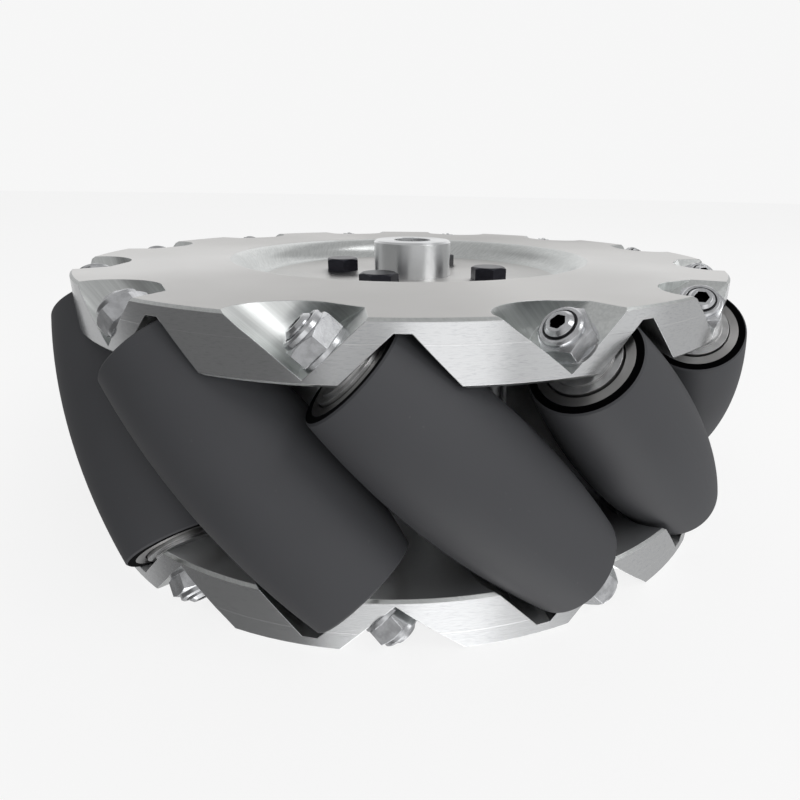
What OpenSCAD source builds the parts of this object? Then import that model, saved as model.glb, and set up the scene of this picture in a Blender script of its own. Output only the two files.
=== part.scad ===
// Mecanum wheel with twelve crowned rubber rollers held at 45 degrees between
// two identical milled aluminium side plates. The wheel lies flat on its lower
// plate: Z is the wheel axis and Z = 0 is the outer face of the lower plate.

/* [Wheel] */
// Rolling radius, measured over the rollers
wheel_r = 101.3; // [100:0.1:102]
// Number of rollers
roller_count = 12; // [12:1:12]
// Angle between each roller and the wheel axis
lean = 45; // [42:1:48]

/* [Side plates] */
// How far the side plates' rims stand inside the rolling radius
rim_back = 6.3; // [5:0.1:8]
// Thickness of a side plate
plate_t = 12.9; // [12:0.1:14]
// Chamfer round both rim edges
rim_chamfer = 0.6; // [0.3:0.1:1]
// Radius of the turned recess in the outer face
recess_r = 57.5; // [50:0.5:62]
// Depth of the turned recess
recess_depth = 6.6; // [4:0.1:8]
// Width of the smooth slope from the outer face down to the recess floor
recess_slope = 11; // [8:0.5:14]

/* [Nut pockets] */
// Diameter of the cutter that mills the pocket
cutter_d = 15; // [14:0.5:16]
// How much narrower than the cutter its straight passes are
pass_relief = 0.1; // [0.06:0.02:0.2]
// Distance from the axle axis inward to where the cutter starts
cutter_in = 2.5; // [2:0.1:3]
// Direction of the cutter's first pass, from outward towards the outer face
pass_low = 14; // [10:1:20]
// Direction of the cutter's second pass
pass_high = 40; // [34:1:46]

/* [Roller notches] */
// Gap between a roller's end and the wall beside it
end_gap = 1.2; // [0.8:0.1:2]
// Thickness of the wall that the axle passes through
wall_t = 4.8; // [4:0.1:5.4]
// Clearance between a roller at its fattest and the round notch
notch_gap = 0.3; // [0.2:0.1:0.8]
// Skin left between the flat top of a notch and the outer face
notch_skin = 2.7; // [2:0.1:4]

/* [Rollers] */
// Gap between neighbouring rollers where they come closest
roller_gap = 0.7; // [0.4:0.1:1.5]
// How much smaller a roller's radius is at its ends than at its middle
crown_drop = 3.2; // [2.8:0.1:3.4]
// Thickness of the rubber at the ends
rubber_t = 1.9; // [1.5:0.1:2.4]
// Wall of the metal core round a bearing
core_wall_t = 2; // [1.5:0.1:3]
// Height of the shoulder behind each bearing in the core
bearing_lip = 1.5; // [1:0.1:2]
// Edge break at the ends of the tyre
tyre_edge = 0.3; // [0.2:0.1:0.8]

/* [Bearings and spacers] */
// Width of a bearing
bearing_w = 6; // [5:0.5:7]
// Outer radius of the bearing's inner ring
inner_ring_r = 4.2; // [4:0.1:5]
// Depth of the bearing's face below the end of the roller
bearing_depth = 3; // [2.6:0.1:4]
// Gap between the stepped spacer's wide part and the mouth of the core
spacer_gap = 0.3; // [0.2:0.1:1]
// Height of the spacer's step down to its narrow part, against the wall
spacer_step = 1.6; // [1:0.1:2.4]
// Length of the spacer's wide part that stands out of the core
spacer_out = 0.7; // [0.2:0.1:0.9]
// Length of the spacer's nose that clears the turning bearing ring
spacer_nose = 0.6; // [0.4:0.1:1]

/* [Axles and lock nuts] */
// Thread diameter of the axles
axle_d = 6; // [5.6:0.1:6.2]
// Length of an axle that stands out of the nut
axle_out = 1.1; // [0.8:0.1:1.6]
// Chamfer on the ends of an axle
axle_chamfer = 0.7; // [0.3:0.1:0.8]
// Across flats of the hex socket in the axle's ends
axle_socket = 3; // [2.5:0.1:3.5]
// Depth of the hex socket in the axle's ends
axle_socket_depth = 3; // [2:0.5:4]
// Radius of the washer under a lock nut
washer_r = 5.4; // [5:0.1:6.4]
// Thickness of the washer
washer_t = 1; // [0.5:0.1:1.2]
// Across flats of a lock nut
nut_af = 10; // [9.6:0.1:10.4]
// Turn of a lock nut on its axle
nut_turn = 15; // [0:5:60]
// Height of the hexagonal part of a lock nut
nut_hex_h = 4; // [3.6:0.1:5]
// Height of the round collar that holds the nylon ring
nut_collar_h = 1.3; // [1:0.1:2.2]
// Radius of the collar
nut_collar_r = 4.5; // [4.2:0.1:4.6]
// Chamfer on the collar's outer edge
nut_collar_chamfer = 0.4; // [0.2:0.1:0.6]
// Gap round the thread in the collar's mouth, above the nylon ring
nut_mouth_gap = 0.5; // [0.3:0.1:0.8]
// Depth of the collar's mouth
nut_mouth_depth = 0.5; // [0.3:0.1:1]

/* [Hub] */
// Radius of the bosses that centre the side plates
boss_r = 12.5; // [12:0.5:15]
// Height of the upper boss above the outer face
boss_out = 4.6; // [2:0.2:8]
// Height of the lower boss's end inside the lower recess
boss_in = 2; // [1:0.5:4]
// Radius of the drum between the side plates
drum_r = 33; // [31:0.5:36]
// Radius of the shaft bore
bore_r = 6; // [5:0.5:7]
// Width of the keyway
key_w = 4; // [3:0.5:5]
// Depth of the keyway beyond the bore
key_depth = 1.8; // [1.4:0.1:2.2]
// Direction of the keyway
key_angle = 95; // [60:5:120]
// Edge break on the bosses
boss_chamfer = 0.6; // [0.3:0.1:1]
// Radius of the set screw in the upper boss
set_screw_r = 3; // [2.5:0.5:3]
// Length of the set screw
set_screw_len = 5.6; // [4:0.1:6]
// Direction of the set screw
set_screw_angle = -10; // [-40:5:30]
// Height of the set screw above the recess floor
set_screw_up = 4.4; // [4:0.1:5]

/* [Hub bolts] */
// Bolts through each side plate into the drum
hub_bolt_count = 4; // [4:1:4]
// Radius of the circle that the bolts lie on
hub_bolt_ring_r = 26; // [24:0.5:27]
// Direction of the first bolt
hub_bolt_turn = 60; // [40:5:80]
// Thread diameter of the hub bolts
hub_bolt_d = 6; // [5:0.5:6]
// Across flats of a bolt head
hub_bolt_af = 10; // [9:0.5:11]
// Height of a bolt head
hub_bolt_head = 4; // [3:0.1:4.5]
// Length of a bolt below its head
hub_bolt_len = 18; // [14:1:20]

/* [Fits] */
// Radial clearance of a running or sliding fit
fit = 0.05; // [0.02:0.01:0.1]
// Radial clearance of a bolt in its through hole
bolt_gap = 0.3; // [0.2:0.05:0.5]

/* [Hidden] */

pitch_angle = 360 / roller_count;
// distance between two neighbouring roller axes, for a ring of radius 1
chord = 2 * (1 - cos(pitch_angle));
axis_spread = chord * cos(lean) / sqrt(chord * pow(cos(lean), 2)
    + pow(sin(lean) * sin(pitch_angle), 2));
// the rollers fill the ring as far as the gap between them allows
roller_ring_r = (wheel_r + roller_gap / 2) / (1 + axis_spread / 2);
roller_r = wheel_r - roller_ring_r;
roller_end_r = roller_r - crown_drop;
// the ends of a roller touch the same rolling circle as its middle
half_len = sqrt(crown_drop * (2 * roller_ring_r + crown_drop)) / sin(lean);
crown_r = (pow(half_len, 2) + pow(crown_drop, 2)) / (2 * crown_drop);
// height of a roller's end edge above the middle of the wheel
roller_top = half_len * cos(lean) + (roller_end_r - tyre_edge) * sin(lean);
width = 2 * (roller_top + notch_gap + notch_skin);
plate_r = wheel_r - rim_back;
core_r = roller_end_r - rubber_t;
bearing_r = core_r - core_wall_t;
core_bore_r = bearing_r - bearing_lip;
spacer_r = bearing_r - spacer_gap;
spacer_step_r = spacer_r - spacer_step;
wall_at = half_len + end_gap;
seat_at = wall_at + wall_t;
notch_r = roller_r + notch_gap;
floor_z = recess_depth;
bearing_face = half_len - bearing_depth;
nut_at = seat_at + washer_t;
axle_len = 2 * (nut_at + nut_hex_h + nut_collar_h + axle_out);
far = 2 * plate_r;
eps = 0.01;
C30 = cos(30);

// Puts children on roller k's axis: local Z runs up the axis, local X outward.
module on_roller(k) {
    rotate([0, 0, k * pitch_angle])
        translate([roller_ring_r, 0, width / 2])
            rotate([lean, 0, 0]) children();
}

// Puts children on both ends of every roller axis.
module on_each_end(up) {
    for (k = [0:roller_count - 1]) on_roller(k)
        rotate([up ? 0 : 180, 0, 0]) children();
}

// ---------------------------------------------------------------- side plates

// Turned blank of the lower plate, outer face down. The recess is dished: one
// arc leaves the outer face and a second of the same radius meets the floor.
module plate_blank() {
    c = rim_chamfer;
    inner = recess_r - recess_slope;
    mid = [recess_r - recess_slope / 2, recess_depth / 2];
    r = (pow(recess_slope, 2) + pow(recess_depth, 2)) / (4 * recess_depth);
    rotate_extrude($fn = 180) difference() {
        union() {
            polygon([
                [boss_r + fit, recess_depth], [inner, recess_depth], mid,
                [recess_r, 0], [plate_r - c, 0], [plate_r, c],
                [plate_r, plate_t - c], [plate_r - c, plate_t],
                [boss_r + fit, plate_t]
            ]);
            intersection() {
                translate([recess_r, r]) circle(r = r, $fn = 128);
                polygon([mid, [recess_r, 0], [mid[0], 0]]);
            }
        }
        intersection() {
            polygon([mid, [inner, recess_depth], [mid[0], recess_depth]]);
            translate([inner, recess_depth - r]) circle(r = r, $fn = 128);
        }
    }
}

// Pocket milled square to a roller axis, from the nut seat outward: the cutter
// starts behind the axle and leaves through the rim in two passes.
module nut_pocket() {
    w = cutter_d - pass_relief;
    translate([-cutter_in, 0, seat_at]) {
        cylinder(d = cutter_d, h = far, $fn = 64);
        for (turn = [pass_low, pass_high]) rotate([0, 0, turn])
            translate([0, -w / 2, 0]) cube([far, w, far]);
    }
}

// Round notch that clears a roller's end, with a flat top under the skin.
module roller_notch(k) {
    intersection() {
        on_roller(k) translate([0, 0, -wall_at])
            cylinder(r = notch_r, h = 2 * wall_at, $fn = 96);
        translate([-far, -far, notch_skin])
            cube([2 * far, 2 * far, width - 2 * notch_skin]);
    }
}

// The lower plate with everything milled and drilled in it.
module side_plate() {
    difference() {
        plate_blank();
        for (k = [0:roller_count - 1]) {
            roller_notch(k);
            on_roller(k) rotate([180, 0, 0]) {
                nut_pocket();
                cylinder(r = axle_d / 2 + fit, h = seat_at + 1, $fn = 32);
            }
        }
        for (b = [0:hub_bolt_count - 1])
            rotate([0, 0, -hub_bolt_turn + b * 360 / hub_bolt_count])
                translate([hub_bolt_ring_r, 0, -eps])
                    cylinder(r = hub_bolt_d / 2 + bolt_gap, h = plate_t + 1,
                        $fn = 32);
    }
}

module plate_lower() { color("silver") side_plate(); }

// The same plate turned over about a roller's outward direction.
module plate_upper() {
    color("silver") translate([0, 0, width]) rotate([180, 0, 0]) side_plate();
}

// ------------------------------------------------------------------------ hub

module hub() {
    c = boss_chamfer;
    top = width + boss_out;
    low = floor_z - boss_in;
    screw_z = width - recess_depth + set_screw_up;
    color("lightgray") difference() {
        rotate_extrude($fn = 128) polygon([
            [0, low], [boss_r - c, low], [boss_r, low + c],
            [boss_r, plate_t], [drum_r, plate_t], [drum_r, width - plate_t],
            [boss_r, width - plate_t], [boss_r, top - c], [boss_r - c, top],
            [0, top]
        ]);
        translate([0, 0, low - 1]) cylinder(r = bore_r, h = far, $fn = 64);
        rotate([0, 0, key_angle]) translate([0, -key_w / 2, low - 1])
            cube([bore_r + key_depth, key_w, far]);
        rotate([0, 0, set_screw_angle]) translate([0, 0, screw_z])
            rotate([0, 90, 0])
                cylinder(r = set_screw_r + fit, h = boss_r + 1, $fn = 32);
        for (b = [0:hub_bolt_count - 1]) {
            hole = hub_bolt_len - (plate_t - recess_depth) + 1;
            rotate([0, 0, hub_bolt_turn + b * 360 / hub_bolt_count])
                translate([hub_bolt_ring_r, 0, width - plate_t - hole])
                    cylinder(r = hub_bolt_d / 2 + fit, h = hole + 1, $fn = 32);
            rotate([0, 0, -hub_bolt_turn + b * 360 / hub_bolt_count])
                translate([hub_bolt_ring_r, 0, plate_t - 1])
                    cylinder(r = hub_bolt_d / 2 + fit, h = hole + 1, $fn = 32);
        }
    }
}

// Hexagonal prism with chamfered corners at its free end, standing on Z = 0.
module hex_body(af, h) {
    flat = 0.95 * af / 2;
    rim = af / 2 + 2;
    intersection() {
        cylinder(d = af / C30, h = h, $fn = 6);
        rotate_extrude($fn = 64) polygon([
            [0, 0], [rim, 0], [rim, h - (rim - flat) * tan(30)],
            [flat, h], [0, h]
        ]);
    }
}

// Hub bolt, head up, with the underside of its head at Z = 0.
module hub_bolt() {
    hex_body(hub_bolt_af, hub_bolt_head);
    translate([0, 0, -hub_bolt_len])
        cylinder(d = hub_bolt_d, h = hub_bolt_len + 0.5, $fn = 32);
}

module hub_bolts_upper() {
    color("#2c2d33") for (b = [0:hub_bolt_count - 1])
        rotate([0, 0, hub_bolt_turn + b * 360 / hub_bolt_count])
            translate([hub_bolt_ring_r, 0, width - recess_depth]) hub_bolt();
}

module hub_bolts_lower() {
    color("#2c2d33") translate([0, 0, width]) rotate([180, 0, 0])
        hub_bolts_upper();
}

module set_screw() {
    screw_z = width - recess_depth + set_screw_up;
    color("#2c2d33") rotate([0, 0, set_screw_angle])
        translate([bore_r + 0.3, 0, screw_z]) rotate([0, 90, 0])
            difference() {
                cylinder(r = set_screw_r, h = set_screw_len, $fn = 32);
                translate([0, 0, set_screw_len - 2])
                    cylinder(d = axle_socket / C30, h = 3, $fn = 6);
            }
}

// -------------------------------------------------- axles, nuts and spacers

module axles() {
    r = axle_d / 2;
    c = axle_chamfer;
    h = axle_len / 2;
    color("silver") for (k = [0:roller_count - 1]) on_roller(k) difference() {
        rotate_extrude($fn = 32) polygon([
            [0, -h], [r - c, -h], [r, c - h], [r, h - c], [r - c, h], [0, h]
        ]);
        for (s = [0, 180]) rotate([s, 0, 0])
            translate([0, 0, h - axle_socket_depth])
                cylinder(d = axle_socket / C30, h = axle_socket_depth + 1,
                    $fn = 6);
    }
}

// Lock nut on its washer, one flat along the pocket's lower side.
module lock_nut() {
    c = nut_collar_chamfer;
    top = nut_hex_h + nut_collar_h;
    translate([0, 0, nut_at]) rotate([0, 0, nut_turn]) difference() {
        union() {
            hex_body(nut_af, nut_hex_h);
            rotate_extrude($fn = 48) polygon([
                [0, 0], [nut_collar_r, 0], [nut_collar_r, top - c],
                [nut_collar_r - c, top], [0, top]
            ]);
        }
        translate([0, 0, -1])
            cylinder(r = axle_d / 2 + fit, h = far, $fn = 32);
        translate([0, 0, top - nut_mouth_depth])
            cylinder(r = axle_d / 2 + nut_mouth_gap, h = far, $fn = 48);
    }
}

module lock_nuts_upper() { color("gainsboro") on_each_end(true) lock_nut(); }

module lock_nuts_lower() { color("gainsboro") on_each_end(false) lock_nut(); }

// Plain washer between a lock nut and its seat.
module washer() {
    translate([0, 0, seat_at]) difference() {
        cylinder(r = washer_r, h = washer_t, $fn = 48);
        translate([0, 0, -1])
            cylinder(r = axle_d / 2 + bolt_gap, h = washer_t + 2, $fn = 32);
    }
}

module washers_upper() { color("gainsboro") on_each_end(true) washer(); }

module washers_lower() { color("gainsboro") on_each_end(false) washer(); }

// Stepped spacer from the bearing's inner ring to the wall.
module spacer() {
    r = axle_d / 2 + fit;
    nose = bearing_face + spacer_nose;
    out = half_len + spacer_out;
    rotate_extrude($fn = 64) polygon([
        [r, bearing_face], [inner_ring_r, bearing_face], [inner_ring_r, nose],
        [spacer_r, nose], [spacer_r, out], [spacer_step_r, out],
        [spacer_step_r, wall_at], [r, wall_at]
    ]);
}

module spacers_upper() { color("gainsboro") on_each_end(true) spacer(); }

module spacers_lower() { color("gainsboro") on_each_end(false) spacer(); }

module bearing_inner_rings() {
    color("lightgray") for (up = [true, false]) on_each_end(up)
        translate([0, 0, bearing_face - bearing_w]) difference() {
            cylinder(r = inner_ring_r, h = bearing_w, $fn = 48);
            translate([0, 0, -1])
                cylinder(r = axle_d / 2 + fit, h = bearing_w + 2, $fn = 32);
        }
}

// Tube on the axle that keeps the two inner rings apart.
module axle_sleeves() {
    len = 2 * (bearing_face - bearing_w);
    color("lightgray") for (k = [0:roller_count - 1]) on_roller(k)
        difference() {
            cylinder(r = inner_ring_r, h = len, center = true, $fn = 48);
            cylinder(r = axle_d / 2 + fit, h = len + 1, center = true,
                $fn = 32);
        }
}

// -------------------------------------------------------------------- rollers

// Crowned rubber tyre, bonded to the core.
module tyre() {
    h = half_len;
    r = roller_end_r - tyre_edge;
    color("#3c3d41") rotate_extrude($fn = 96) intersection() {
        translate([roller_r - crown_r, 0]) circle(r = crown_r, $fn = 256);
        polygon([
            [core_r, -h], [r, -h], [r + 10, 10 - h], [r + 10, h - 10],
            [r, h], [core_r, h]
        ]);
    }
}

// Metal core with a bearing seat in each end.
module core() {
    seat = bearing_depth + bearing_w;
    r = bearing_r + fit;
    h = half_len;
    color("darkgray") rotate_extrude($fn = 96) polygon([
        [core_bore_r, -h + seat], [r, -h + seat], [r, -h], [core_r, -h],
        [core_r, h], [r, h], [r, h - seat], [core_bore_r, h - seat]
    ]);
}

// The turning rings of the two shielded bearings.
module bearings() {
    color("lightgray") for (s = [0, 180]) rotate([s, 0, 0])
        translate([0, 0, bearing_face - bearing_w]) difference() {
            cylinder(r = bearing_r, h = bearing_w, $fn = 64);
            translate([0, 0, -1])
                cylinder(r = inner_ring_r + fit, h = bearing_w + 2, $fn = 48);
        }
}

plate_upper();
plate_lower();
hub();
hub_bolts_upper();
hub_bolts_lower();
set_screw();
axles();
lock_nuts_upper();
lock_nuts_lower();
washers_upper();
washers_lower();
spacers_upper();
spacers_lower();
bearing_inner_rings();
axle_sleeves();
for (k = [0:roller_count - 1]) {
    on_roller(k) tyre();
    on_roller(k) core();
    on_roller(k) bearings();
}
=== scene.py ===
import math

import bmesh
import bpy
from mathutils import Matrix, Vector


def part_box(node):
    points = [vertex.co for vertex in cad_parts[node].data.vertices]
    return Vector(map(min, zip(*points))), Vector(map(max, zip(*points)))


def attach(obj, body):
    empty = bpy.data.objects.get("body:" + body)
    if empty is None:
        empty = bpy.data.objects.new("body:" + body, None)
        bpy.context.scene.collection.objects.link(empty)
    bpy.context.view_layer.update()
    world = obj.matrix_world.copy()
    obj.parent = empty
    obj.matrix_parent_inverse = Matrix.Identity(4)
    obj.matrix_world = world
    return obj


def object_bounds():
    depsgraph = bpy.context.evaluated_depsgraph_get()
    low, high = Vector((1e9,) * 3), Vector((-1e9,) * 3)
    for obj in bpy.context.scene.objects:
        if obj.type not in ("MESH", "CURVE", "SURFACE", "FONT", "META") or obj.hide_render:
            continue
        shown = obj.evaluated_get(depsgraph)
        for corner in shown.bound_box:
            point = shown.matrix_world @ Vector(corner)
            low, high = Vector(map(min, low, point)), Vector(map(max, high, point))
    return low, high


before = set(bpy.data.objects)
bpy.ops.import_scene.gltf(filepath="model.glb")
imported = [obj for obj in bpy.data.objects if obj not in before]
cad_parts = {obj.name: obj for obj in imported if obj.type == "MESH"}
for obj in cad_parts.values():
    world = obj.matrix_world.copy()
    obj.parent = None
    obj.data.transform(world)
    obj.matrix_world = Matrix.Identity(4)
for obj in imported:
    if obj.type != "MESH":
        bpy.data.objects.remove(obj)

cad_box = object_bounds()

# ------------------------------------------------------------ sizes, metres
ROLLERS = 12
LEAN = math.radians(45)
PLATE_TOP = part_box("plate_upper")[1]
PLATE_R, WIDTH = PLATE_TOP.x, PLATE_TOP.z
MID = WIDTH / 2
CORE_LOW, CORE_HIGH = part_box("core_0")
RING = (CORE_LOW.x + CORE_HIGH.x) / 2    # roller centres, from the wheel's axis
AXLE_END = 0.04683                       # from the middle of an axle
NUT_TOP = 0.04573                        # the lock nuts' ends, from there too
THREAD_R = 0.003
INSERT_R = 0.00346
SOCKET_R = 0.0019                        # of the hexagon hole in an axle's end
WITNESS_STEP = 0.0047                    # witness line, in from a plate's outer face
AXLE_SWING = math.radians(18.7)          # an axle's end, round from its middle


def roller_matrix(k):
    """The roller's own frame: X outward, Z up its axle."""
    turn = Matrix.Rotation(2 * math.pi * k / ROLLERS, 4, "Z")
    return turn @ Matrix.Translation((RING, 0, MID)) @ Matrix.Rotation(LEAN, 4, "X")


# ------------------------------------------------------------------- camera
def make_camera():
    """Stands close to the rim, a little above the upper plate, and looks down."""
    turned = math.radians(-8.01)
    distance, above = 0.18725, 0.02125
    pitch, yaw, roll = math.radians(17.04), math.radians(3.91), math.radians(1.01)
    look = Vector((math.sin(yaw) * math.cos(pitch), math.cos(yaw) * math.cos(pitch),
                   -math.sin(pitch)))
    side = Vector((math.cos(yaw), -math.sin(yaw), 0))
    up = side.cross(look)
    right = math.cos(roll) * side + math.sin(roll) * up
    top = math.cos(roll) * up - math.sin(roll) * side
    spin = Matrix.Rotation(turned, 3, "Z")
    place = spin @ Vector((0, -distance, WIDTH + above))
    axes = [spin @ v for v in (right, top, -look)]
    data = bpy.data.cameras.new("camera")
    data.sensor_width = 36
    data.lens = 25.17
    data.shift_x = -0.0616
    data.shift_y = -0.0516
    data.clip_start = 0.01
    data.clip_end = 20
    cam = bpy.data.objects.new("camera", data)
    bpy.context.scene.collection.objects.link(cam)
    cam.matrix_world = Matrix((
        (axes[0].x, axes[1].x, axes[2].x, place.x),
        (axes[0].y, axes[1].y, axes[2].y, place.y),
        (axes[0].z, axes[1].z, axes[2].z, place.z),
        (0, 0, 0, 1)))
    bpy.context.scene.camera = cam


make_camera()
bpy.context.scene.view_settings.view_transform = "Standard"


# ------------------------------------------------------------ node shorthand
class Graph:
    """Builds one material's nodes."""

    def __init__(self, name):
        self.mat = bpy.data.materials.new(name)
        self.mat.use_nodes = True
        self.tree = self.mat.node_tree
        self.shader = self.tree.nodes["Principled BSDF"]
        self.coords = self.tree.nodes.new("ShaderNodeTexCoord")
        self.place = self.coords.outputs["Object"]
        self.normal = self.coords.outputs["Normal"]

    def link(self, value, socket):
        if isinstance(value, bpy.types.NodeSocket):
            self.tree.links.new(value, socket)
        else:
            socket.default_value = value

    def math(self, kind, a, b=0.0):
        n = self.tree.nodes.new("ShaderNodeMath")
        n.operation = kind
        for value, socket in zip((a, b), n.inputs):
            self.link(value, socket)
        return n.outputs[0]

    def vector(self, kind, a, b=(0, 0, 0), scale=None):
        n = self.tree.nodes.new("ShaderNodeVectorMath")
        n.operation = kind
        self.link(a, n.inputs[0])
        self.link(b, n.inputs[1])
        if scale is not None:
            self.link(scale, n.inputs["Scale"])
        return n.outputs["Value"] if kind in ("LENGTH", "DOT_PRODUCT") else n.outputs[0]

    def parts(self, v):
        n = self.tree.nodes.new("ShaderNodeSeparateXYZ")
        self.link(v, n.inputs[0])
        return n.outputs

    def join(self, x, y, z):
        n = self.tree.nodes.new("ShaderNodeCombineXYZ")
        for value, socket in zip((x, y, z), n.inputs):
            self.link(value, socket)
        return n.outputs[0]

    def spin(self, v, axis, angle):
        n = self.tree.nodes.new("ShaderNodeVectorRotate")
        n.rotation_type = axis + "_AXIS"
        self.link(v, n.inputs["Vector"])
        self.link(angle, n.inputs["Angle"])
        return n.outputs[0]

    def noise(self, v, scale, detail=2.0, rough=0.5):
        n = self.tree.nodes.new("ShaderNodeTexNoise")
        self.link(v, n.inputs["Vector"])
        n.inputs["Scale"].default_value = scale
        n.inputs["Detail"].default_value = detail
        n.inputs["Roughness"].default_value = rough
        return n.outputs["Fac"]

    def ramp(self, value, low, high, a=0.0, b=1.0):
        n = self.tree.nodes.new("ShaderNodeMapRange")
        n.interpolation_type = "SMOOTHSTEP"
        for given, socket in zip((value, low, high, a, b), n.inputs):
            self.link(given, socket)
        return n.outputs[0]

    def mix(self, amount, a, b):
        n = self.tree.nodes.new("ShaderNodeMix")
        n.data_type = "FLOAT"
        for given, socket in ((amount, 0), (a, 2), (b, 3)):
            self.link(given, n.inputs[socket])
        return n.outputs[0]

    def tint(self, amount, a, b, kind="MIX"):
        n = self.tree.nodes.new("ShaderNodeMix")
        n.data_type = "RGBA"
        n.blend_type = kind
        self.link(amount, n.inputs[0])
        for given, socket in ((a, 6), (b, 7)):
            self.link(given if isinstance(given, bpy.types.NodeSocket) else (*given, 1),
                      n.inputs[socket])
        return n.outputs[2]

    def bevel(self, radius):
        n = self.tree.nodes.new("ShaderNodeBevel")
        n.samples = 6
        n.inputs["Radius"].default_value = radius
        return n.outputs[0]

    def bump(self, height, distance, strength=1.0, normal=None):
        n = self.tree.nodes.new("ShaderNodeBump")
        if normal is not None:
            self.link(normal, n.inputs["Normal"])
        n.inputs["Strength"].default_value = strength
        n.inputs["Distance"].default_value = distance
        self.link(height, n.inputs["Height"])
        return n.outputs[0]

    def radius(self, x, y):
        return self.math("SQRT", self.math("ADD", self.math("MULTIPLY", x, x),
                                           self.math("MULTIPLY", y, y)))

    def axle_frame(self, side):
        """Place in the nearest axle's frame, and that axle's direction.

        side is 1 above the wheel's middle and -1 below it."""
        x, y, z = self.parts(self.place)
        around = self.math("ADD", self.math("ARCTAN2", y, x),
                           self.math("MULTIPLY", side, AXLE_SWING))
        step = 2 * math.pi / ROLLERS
        turn = self.math("MULTIPLY", self.math("ROUND", self.math("DIVIDE", around, step)), -step)
        local = self.vector("SUBTRACT", self.spin(self.place, "Z", turn), (RING, 0, MID))
        lean = (0, -math.sin(LEAN), math.cos(LEAN))
        along = self.spin(lean, "Z", self.math("MULTIPLY", turn, -1.0))
        return self.spin(local, "X", -LEAN), along

    def brushed(self, lines):
        """Tangent for a surface with fine lines along the given direction."""
        across = self.vector("CROSS_PRODUCT", self.normal, lines)
        return self.to_world(self.vector("NORMALIZE", across))

    def to_world(self, v):
        n = self.tree.nodes.new("ShaderNodeVectorTransform")
        n.vector_type = "VECTOR"
        n.convert_from, n.convert_to = "OBJECT", "WORLD"
        self.link(v, n.inputs[0])
        return n.outputs[0]

    def set(self, **sockets):
        for name, value in sockets.items():
            self.link(value, self.shader.inputs[name.replace("_", " ")])
        return self.mat


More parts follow.
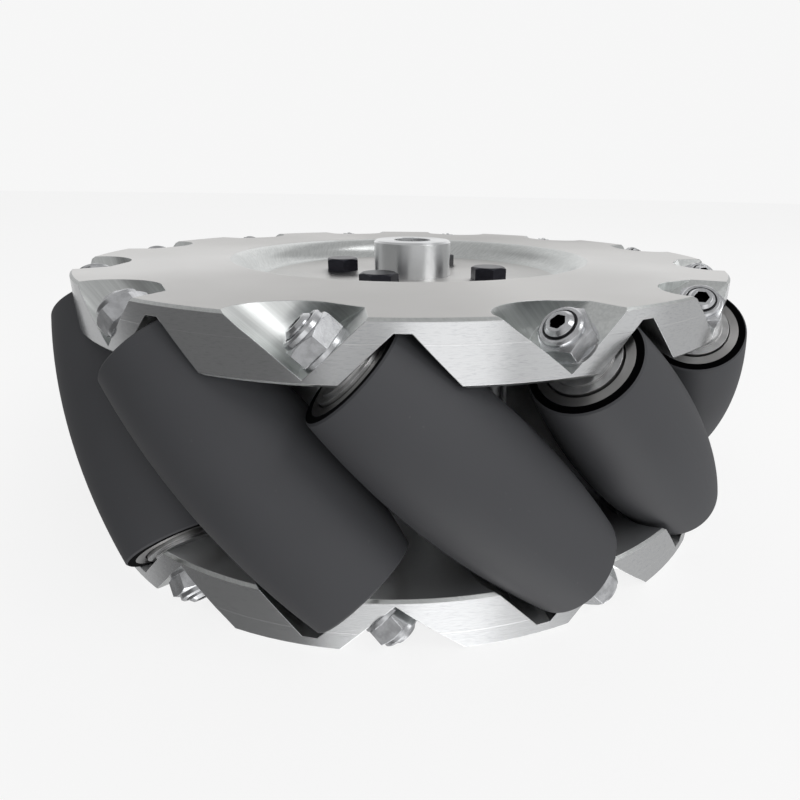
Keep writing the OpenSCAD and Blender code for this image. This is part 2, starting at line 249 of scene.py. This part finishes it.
# ---------------------------------------------------------------- aluminium
def plate_material(name, upper):
    """Satin faces, a turned rim and milled pockets, all one metal."""
    g = Graph(name)
    x, y, z = g.parts(g.place)
    radius = g.radius(x, y)
    nz = g.parts(g.normal)[2]
    flat = g.ramp(g.math("ABSOLUTE", nz), 0.97, 0.995)
    outer = g.math("MULTIPLY", flat, g.ramp(nz, 0.2, 0.6) if upper else g.ramp(nz, -0.2, -0.6))
    rim = g.math("MULTIPLY", g.ramp(radius, PLATE_R - 0.0002, PLATE_R - 0.00008),
                 g.ramp(g.math("ABSOLUTE", nz), 0.4, 0.2))
    # the cutter's streaks follow the nearest axle
    local, along = g.axle_frame(1.0 if upper else -1.0)
    lx, ly, lz = g.parts(local)
    # fine grain of the faces
    grain = g.noise(g.place, 2600, 3)
    cloud = g.noise(g.place, 45, 3)
    # lines round the rim
    lines = g.noise(g.join(g.math("MULTIPLY", x, 0.012), g.math("MULTIPLY", y, 0.012), z),
                    4200, 4, 0.7)
    wide = g.noise(g.join(g.math("MULTIPLY", x, 0.25), g.math("MULTIPLY", y, 0.25), z), 1500, 3)
    glint = g.noise(g.join(g.math("MULTIPLY", x, 0.12), g.math("MULTIPLY", y, 0.12), z),
                    6000, 3, 0.6)
    # streaks along the pockets and notches
    streak = g.noise(g.join(lx, ly, g.math("MULTIPLY", lz, 0.03)), 1500, 4, 0.65)
    swirl = g.noise(g.join(lx, ly, g.math("MULTIPLY", lz, 0.25)), 260, 2)
    milled = g.math("SUBTRACT", 1.0, g.math("MAXIMUM", rim, flat))
    # a witness line where two turning passes meet
    height = g.math("SUBTRACT", z, WIDTH - WITNESS_STEP if upper else WITNESS_STEP)
    witness = g.math("MULTIPLY", rim, g.ramp(g.math("ABSOLUTE", height), 0.00012, 0.00004))
    tall = g.math("ADD", g.math("MULTIPLY", rim, g.math("ADD", g.math("MULTIPLY", lines, 0.6),
                                                        g.math("MULTIPLY", wide, 0.8))),
                  g.math("MULTIPLY", milled, g.math("ADD", g.math("MULTIPLY", streak, 0.45),
                                                    g.math("MULTIPLY", swirl, 1.6))))
    tall = g.math("ADD", tall, g.math("MULTIPLY", flat, g.math("MULTIPLY", grain, 0.25)))
    tall = g.math("ADD", tall, g.math("MULTIPLY", witness, 0.8))
    soft_edge = g.bevel(0.00022)
    normal = g.bump(tall, 0.00002, normal=soft_edge)
    # mask where the rounded normal leans off the face, for a painted highlight along the edges
    painted_edge_highlight = g.ramp(g.vector("DOT_PRODUCT", soft_edge, g.to_world(g.normal)), 0.995, 0.9)
    round_lines = g.vector("CROSS_PRODUCT", (0, 0, 1), g.place)
    milled_lines = g.vector("SCALE", along, scale=milled)
    lines_along = g.vector("ADD", milled_lines,
                           g.vector("SCALE", g.vector("NORMALIZE", round_lines),
                                    scale=g.math("SUBTRACT", 1.0, milled)))
    rough = g.mix(flat, g.mix(rim, 0.3, 0.25), g.mix(outer, 0.34, 0.36))
    rough = g.math("ADD", rough, g.math("MULTIPLY", g.math("SUBTRACT", cloud, 0.5), 0.12))
    shade = g.tint(g.math("MULTIPLY", cloud, 0.35), (0.83, 0.84, 0.85), (0.74, 0.745, 0.75))
    shade = g.tint(g.math("MULTIPLY", milled, 0.85), shade,
                   g.tint(g.ramp(streak, 0.3, 0.7), (0.66, 0.68, 0.67), (0.80, 0.82, 0.81)))
    shade = g.tint(g.math("MULTIPLY", outer, 0.9), shade, (0.69, 0.68, 0.665))
    dark = g.math("MULTIPLY", rim, g.ramp(glint, 0.5, 0.3))
    shade = g.tint(g.math("MULTIPLY", dark, 0.32), shade, (0.5, 0.51, 0.54))
    shade = g.tint(g.math("MULTIPLY", witness, 0.5), shade, (0.95, 0.95, 0.96))
    # painted highlight: the edges are lightened in colour
    shade = g.tint(g.math("MULTIPLY", painted_edge_highlight, 0.7), shade, (0.93, 0.94, 0.95))
    return g.set(Base_Color=shade, Metallic=1.0, Roughness=rough, Anisotropic=0.85,
                 Tangent=g.brushed(lines_along), Normal=normal)


def turned_material(name, color, rough, centre=None):
    """Turned metal with fine rings about the wheel's axis, or about an axle."""
    centre = centre or Matrix.Identity(4)
    g = Graph(name)
    offset = g.vector("SUBTRACT", g.place, tuple(centre.translation))
    turned = g.tree.nodes.new("ShaderNodeVectorRotate")
    turned.rotation_type = "EULER_XYZ"
    turned.invert = True
    turned.inputs["Rotation"].default_value = centre.to_euler("XYZ")
    g.link(offset, turned.inputs["Vector"])
    place = turned.outputs[0]
    x, y, z = g.parts(place)
    ring = g.noise(g.join(g.radius(x, y), z, 0.0), 5200, 4, 0.7)
    soft = g.noise(place, 320, 3)
    tall = g.math("ADD", g.math("MULTIPLY", ring, 0.5), g.math("MULTIPLY", soft, 0.4))
    axis = centre.to_3x3() @ Vector((0, 0, 1))
    rings = g.vector("CROSS_PRODUCT", tuple(axis), offset)
    shade = g.tint(g.math("MULTIPLY", soft, 0.5), color, tuple(c * 0.82 for c in color))
    deep = g.math("ADD", rough - 0.04, g.math("MULTIPLY", ring, 0.08))
    return g.set(Base_Color=shade, Metallic=1.0, Roughness=deep, Anisotropic=0.85,
                 Tangent=g.brushed(rings),
                 Normal=g.bump(tall, 0.00001, normal=g.bevel(0.00015)))


def plated_material(name, color, rough, wear):
    """Plated or oxidised steel, a little uneven, rubbed through here and there."""
    g = Graph(name)
    soft = g.noise(g.place, 420, 3)
    fine = g.noise(g.place, 3500, 3)
    shade = g.tint(g.ramp(soft, 0.35, 0.7), color, tuple(min(1, c * 0.8) for c in color))
    shade = g.tint(g.math("MULTIPLY", g.ramp(fine, 0.66, 0.8), wear), shade, (0.5, 0.5, 0.5))
    deep = g.math("ADD", rough - 0.05, g.math("MULTIPLY", soft, 0.1))
    tall = g.math("ADD", g.math("MULTIPLY", soft, 1.5), g.math("MULTIPLY", fine, 0.4))
    return g.set(Base_Color=shade, Metallic=1.0, Roughness=deep,
                 Normal=g.bump(tall, 0.00001, normal=g.bevel(0.00018)))


def fastener_material(name, color, rough):
    """Zinc plating on the nuts, washers and axle ends; the key sockets are painted near black as
    painted shade.
    """
    g = Graph(name)
    side = g.math("SIGN", g.math("SUBTRACT", g.parts(g.place)[2], MID))
    local, _ = g.axle_frame(side)
    lx, ly, lz = g.parts(local)
    radius = g.radius(lx, ly)
    inside = g.ramp(g.math("ABSOLUTE", lz), AXLE_END - 0.0001, AXLE_END - 0.0003)
    # painted shade: the hex socket in each axle's end, a recess, is painted near black
    socket = g.math("MULTIPLY", g.ramp(radius, SOCKET_R, SOCKET_R - 0.0001), inside)
    soft = g.noise(g.place, 420, 3)
    fine = g.noise(g.place, 3500, 3)
    rings = g.noise(g.join(radius, lz, 0.0), 4200, 3)
    shade = g.tint(g.ramp(soft, 0.35, 0.7), color, tuple(c * 0.75 for c in color))
    shade = g.tint(g.math("MULTIPLY", g.ramp(fine, 0.55, 0.8), 0.35), shade, (0.35, 0.35, 0.36))
    shade = g.tint(socket, shade, (0.03, 0.03, 0.032))
    deep = g.math("ADD", rough - 0.05, g.math("MULTIPLY", soft, 0.1))
    tall = g.math("ADD", g.math("MULTIPLY", soft, 2.0), g.math("MULTIPLY", fine, 0.4))
    tall = g.math("ADD", tall, g.math("MULTIPLY", rings, 0.5))
    return g.set(Base_Color=shade, Metallic=1.0, Roughness=deep,
                 Normal=g.bump(tall, 0.00001, normal=g.bevel(0.00018)))


def rubber_material(name, k):
    """Moulded matte rubber; its cut ends are darker and its skin faintly cloudy."""
    g = Graph(name)
    axis = roller_matrix(k).to_3x3() @ Vector((0, 0, 1))
    # the cut ends swallow nearly all light
    end = g.ramp(g.math("ABSOLUTE", g.vector("DOT_PRODUCT", g.normal, tuple(axis))), 0.7, 0.85)
    cloud = g.noise(g.place, 55, 4)
    grain = g.noise(g.place, 2400, 3)
    dust = g.ramp(g.noise(g.place, 700, 2), 0.72, 0.8)
    shade = g.tint(cloud, (0.050, 0.051, 0.055), (0.061, 0.062, 0.067))
    shade = g.tint(g.math("MULTIPLY", dust, 0.25), shade, (0.11, 0.11, 0.11))
    shade = g.tint(end, shade, (0.002, 0.002, 0.0025))
    rough = g.mix(end, g.math("ADD", 0.52, g.math("MULTIPLY", cloud, 0.12)), 1.0)
    return g.set(Base_Color=shade, Roughness=rough, Specular_IOR_Level=0.3,
                 Metallic=g.math("MULTIPLY", end, 0.85),
                 Normal=g.bump(grain, 0.00002, 0.6))


def dress(node, material):
    """The same finish in each of a node's slots."""
    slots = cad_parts[node].material_slots
    for s in slots:
        s.link = "OBJECT"
        s.material = material


dress("plate_upper", plate_material("aluminium_upper", True))
dress("plate_lower", plate_material("aluminium_lower", False))
dress("hub", turned_material("hub_turned", (0.90, 0.91, 0.92), 0.3))
black = plated_material("black_oxide", (0.055, 0.055, 0.068), 0.3, 0.25)
zinc = fastener_material("bright_zinc", (0.74, 0.75, 0.77), 0.24)
bright = plated_material("bright_steel", (0.62, 0.62, 0.62), 0.33, 0.0)
for n in ("hub_bolts_upper", "hub_bolts_lower", "set_screw"):
    dress(n, black)
for n in ("axles", "lock_nuts_upper", "lock_nuts_lower", "washers_upper", "washers_lower"):
    dress(n, zinc)
for n in ("spacers_upper", "spacers_lower", "bearing_inner_rings", "axle_sleeves"):
    dress(n, bright)
for k in range(ROLLERS):
    dress(f"tyre_{k}", rubber_material(f"rubber_{k}", k))
    dress(f"core_{k}", turned_material(f"core_turned_{k}", (0.42, 0.415, 0.41), 0.36,
                                       roller_matrix(k)))
    dress(f"bearings_{k}", bright)


# ------------------------------------------------------ rings in the lock nuts
def revolve(bm, matrix, profile, steps):
    """Add a closed ring: (radius, height) corners swept round the matrix's Z."""
    rings = []
    for i in range(steps):
        a = 2 * math.pi * i / steps
        rings.append([bm.verts.new(matrix @ Vector((r * math.cos(a), r * math.sin(a), h)))
                      for r, h in profile])
    for i in range(steps):
        a, b = rings[i], rings[(i + 1) % steps]
        for j in range(len(profile)):
            n = (j + 1) % len(profile)
            bm.faces.new((a[j], b[j], b[n], a[n])).smooth = True


def make_inserts():
    """The nylon ring round the thread in each lock nut's mouth; its near-black colour is partly
    painted shade in the mouth.
    """
    bm = bmesh.new()
    inner, outer = THREAD_R + 0.00004, INSERT_R
    low, high, ease = -0.00048, -0.00016, 0.00008
    profile = ((inner, low), (outer, low), (outer, high - ease), (outer - ease, high),
               (inner + ease, high), (inner, high - ease))
    for k in range(ROLLERS):
        for end in (1, -1):
            flip = Matrix.Rotation(0 if end > 0 else math.pi, 4, "X")
            place = roller_matrix(k) @ flip @ Matrix.Translation((0, 0, NUT_TOP))
            revolve(bm, place, profile, 40)
    bmesh.ops.recalc_face_normals(bm, faces=bm.faces)
    mesh = bpy.data.meshes.new("nut_inserts")
    bm.to_mesh(mesh)
    bm.free()
    rings = bpy.data.objects.new("nut_inserts", mesh)
    bpy.context.scene.collection.objects.link(rings)
    g = Graph("nylon")
    soft = g.noise(g.place, 900, 3)
    # the nylon's own dark colour, made near black also as painted shade in the nut's mouth
    shade = g.tint(soft, (0.012, 0.012, 0.014), (0.03, 0.03, 0.034))
    mesh.materials.append(g.set(Base_Color=shade, Roughness=g.mix(soft, 0.4, 0.6),
                                Normal=g.bump(soft, 0.00002)))
    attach(rings, "wheel_frame")


make_inserts()


# ------------------------------------------------------- floor and lighting
def make_floor():
    """A pale round table top; it glows a little, and only the camera sees it."""
    mesh = bpy.data.meshes.new("floor")
    r, n = 6.0, 96
    angles = [2 * math.pi * i / n for i in range(n)]
    ring = [(r * math.cos(a), r * math.sin(a), 0.0) for a in angles]
    mesh.from_pydata(ring, [], [list(range(n))])
    floor = bpy.data.objects.new("floor", mesh)
    bpy.context.scene.collection.objects.link(floor)
    floor.location.z = cad_box[0][2]
    g = Graph("floor_paper")
    soft = g.noise(g.place, 3, 2)
    shade = g.tint(soft, (0.20, 0.20, 0.20), (0.215, 0.215, 0.215))
    floor.data.materials.append(g.set(Base_Color=shade, Roughness=0.9, Specular_IOR_Level=0.0,
                                      Emission_Color=(1, 1, 1, 1), Emission_Strength=0.8))
    floor.visible_glossy = False
    floor.visible_diffuse = False
    floor.visible_shadow = False


# the studio: a grey room and plain soft panels, set round the wheel.
# Each panel's turn and width are in degrees; its lowest and highest direction
# run from -1, straight down, to 1, straight up; last comes its brightness
ROOM_GREY = 0.45
BACKDROP = 0.925       # what the camera sees behind the floor
PANELS = {
    "shade_left": (-165, 70, -0.8, 0.6, 0.14),
    "softbox_front": (-85, 30, -0.8, 0.2, 0.95),
    "fill_right": (-38, 50, -0.4, 0.3, 0.65),
    "screen_back": (80, 80, -0.5, 0.7, 0.85),
    "card_on_table": (-80, 120, -1.2, -0.8, 2.5),
}
PANEL_EDGE = 7         # degrees over which a panel fades
PANEL_FADE = 0.08      # the same, up and down


def make_world():
    """A grey room with a few plain soft panels; the camera sees a pale backdrop."""
    world = bpy.data.worlds.new("studio")
    bpy.context.scene.world = world
    world.use_nodes = True
    tree = world.node_tree
    back = tree.nodes["Background"]

    def node(kind, values=(), **settings):
        n = tree.nodes.new(kind)
        for key, value in settings.items():
            setattr(n, key, value)
        for value, socket in zip(values, n.inputs):
            if isinstance(value, bpy.types.NodeSocket):
                tree.links.new(value, socket)
            else:
                socket.default_value = value
        return n

    def share(value, low, high):
        return node("ShaderNodeMapRange", (value, low, high),
                    interpolation_type="SMOOTHSTEP").outputs[0]

    def times(a, b):
        return node("ShaderNodeMath", (a, b), operation="MULTIPLY").outputs[0]

    def between(amount, a, b):
        """a where the amount is 0 and b where it is 1."""
        return node("ShaderNodeMapRange", (amount, 0, 1, a, b)).outputs[0]

    way = node("ShaderNodeTexCoord").outputs["Generated"]
    height = node("ShaderNodeSeparateXYZ", (way,)).outputs[2]
    flat_way = node("ShaderNodeVectorMath", (way, (1, 1, 0)), operation="MULTIPLY").outputs[0]
    level = node("ShaderNodeVectorMath", (flat_way,), operation="NORMALIZE").outputs[0]
    light = ROOM_GREY
    for turn, width, low, high, bright in PANELS.values():
        a = math.radians(turn)
        facing = node("ShaderNodeVectorMath", (level, (math.cos(a), math.sin(a), 0)),
                      operation="DOT_PRODUCT").outputs["Value"]
        inner, outer = (math.cos(math.radians(width / 2 + e)) for e in (-PANEL_EDGE, PANEL_EDGE))
        across = share(facing, outer, inner)
        upward = times(share(height, low - PANEL_FADE, low + PANEL_FADE),
                       share(height, high + PANEL_FADE, high - PANEL_FADE))
        light = between(times(across, upward), light, bright)
    seen_directly = node("ShaderNodeLightPath").outputs["Is Camera Ray"]
    tree.links.new(between(seen_directly, light, BACKDROP), back.inputs["Color"])


def soft_light(name, place, aim, size, power, mirrored=True):
    """A square soft light; the metal shows its reflection only where mirrored."""
    data = bpy.data.lights.new(name, "AREA")
    data.shape = "SQUARE"
    data.size = size
    data.energy = power
    lamp = bpy.data.objects.new(name, data)
    bpy.context.scene.collection.objects.link(lamp)
    lamp.visible_glossy = mirrored
    lamp.location = place
    lamp.rotation_euler = (Vector(aim) - Vector(place)).to_track_quat("-Z", "Y").to_euler()


make_floor()
make_world()
soft_light("key", (0.75, -0.65, 0.9), (0, 0, MID), 0.6, 3)
soft_light("low_front", (0.6, -1.9, 0.6), (0, 0, MID), 1.2, 17, mirrored=False)
